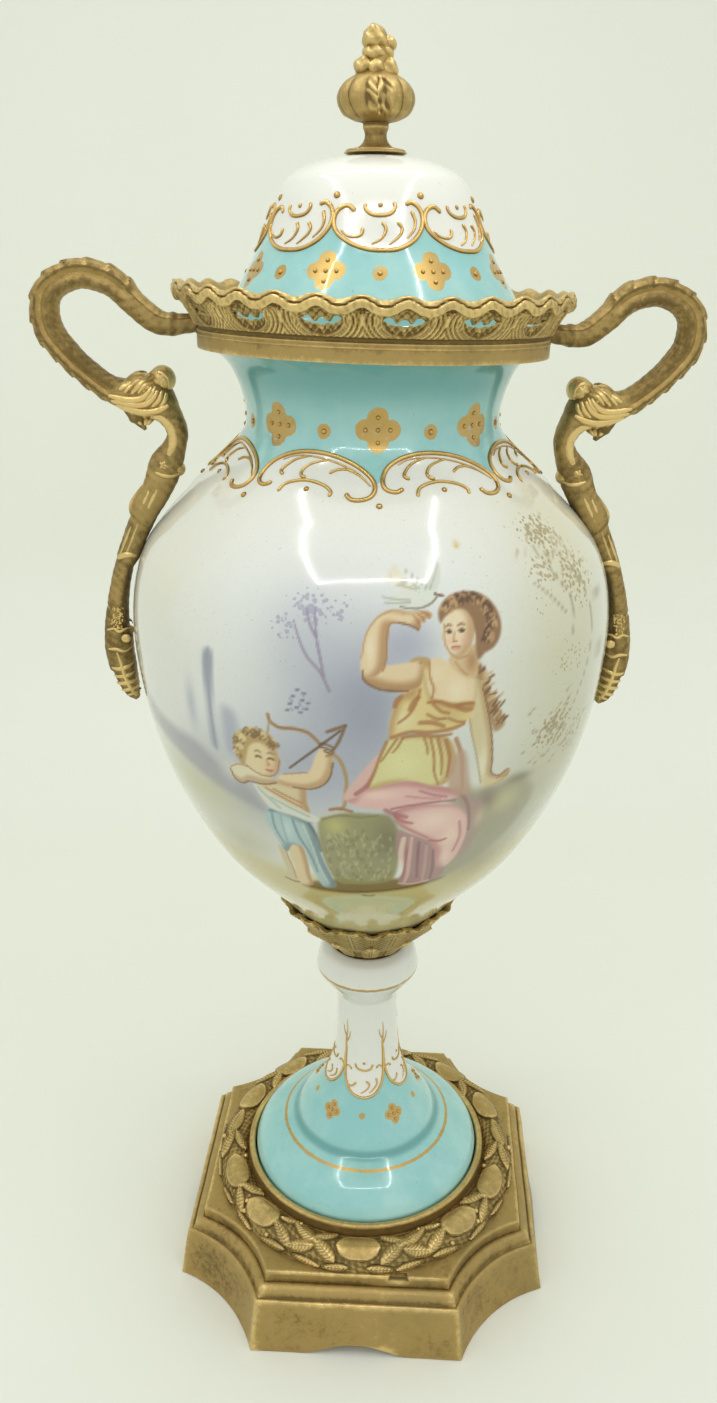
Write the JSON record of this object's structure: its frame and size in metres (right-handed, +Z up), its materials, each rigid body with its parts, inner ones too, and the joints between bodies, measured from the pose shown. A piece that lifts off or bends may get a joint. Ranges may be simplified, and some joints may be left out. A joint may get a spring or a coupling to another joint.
{
  "type": "mantel urn",
  "caption": "Tall covered mantel urn of painted turquoise and white porcelain on a gilt cast plinth, with gilt leaf collar, pierced gallery, scroll handles, domed lid and bud finial.",
  "frame": {"origin": "on the floor under the middle of the plinth, on the urn's axis", "axes": "+Z up the urn's axis; the handles reach out along +X and -X; the painted front faces -Y"},
  "size_m": [0.1794, 0.1372, 0.38],
  "materials": {
    "gilt_metal": "matte antique gilding with dark hollows and rubbed bright edges",
    "painted_porcelain": "glossy glaze, painted picture, gilt scrollwork and turquoise neck",
    "turquoise_porcelain": "glossy turquoise and white glaze with raised gilding"
  },
  "bodies": {
    "root": {"plinth": "gilt_metal", "foot_stem": "turquoise_porcelain", "leaf_collar": "gilt_metal", "body": "painted_porcelain", "rim_gallery": "gilt_metal", "handle_left": "gilt_metal", "handle_right": "gilt_metal", "lid": "turquoise_porcelain", "finial": "gilt_metal"}
  },
  "joints": []
}
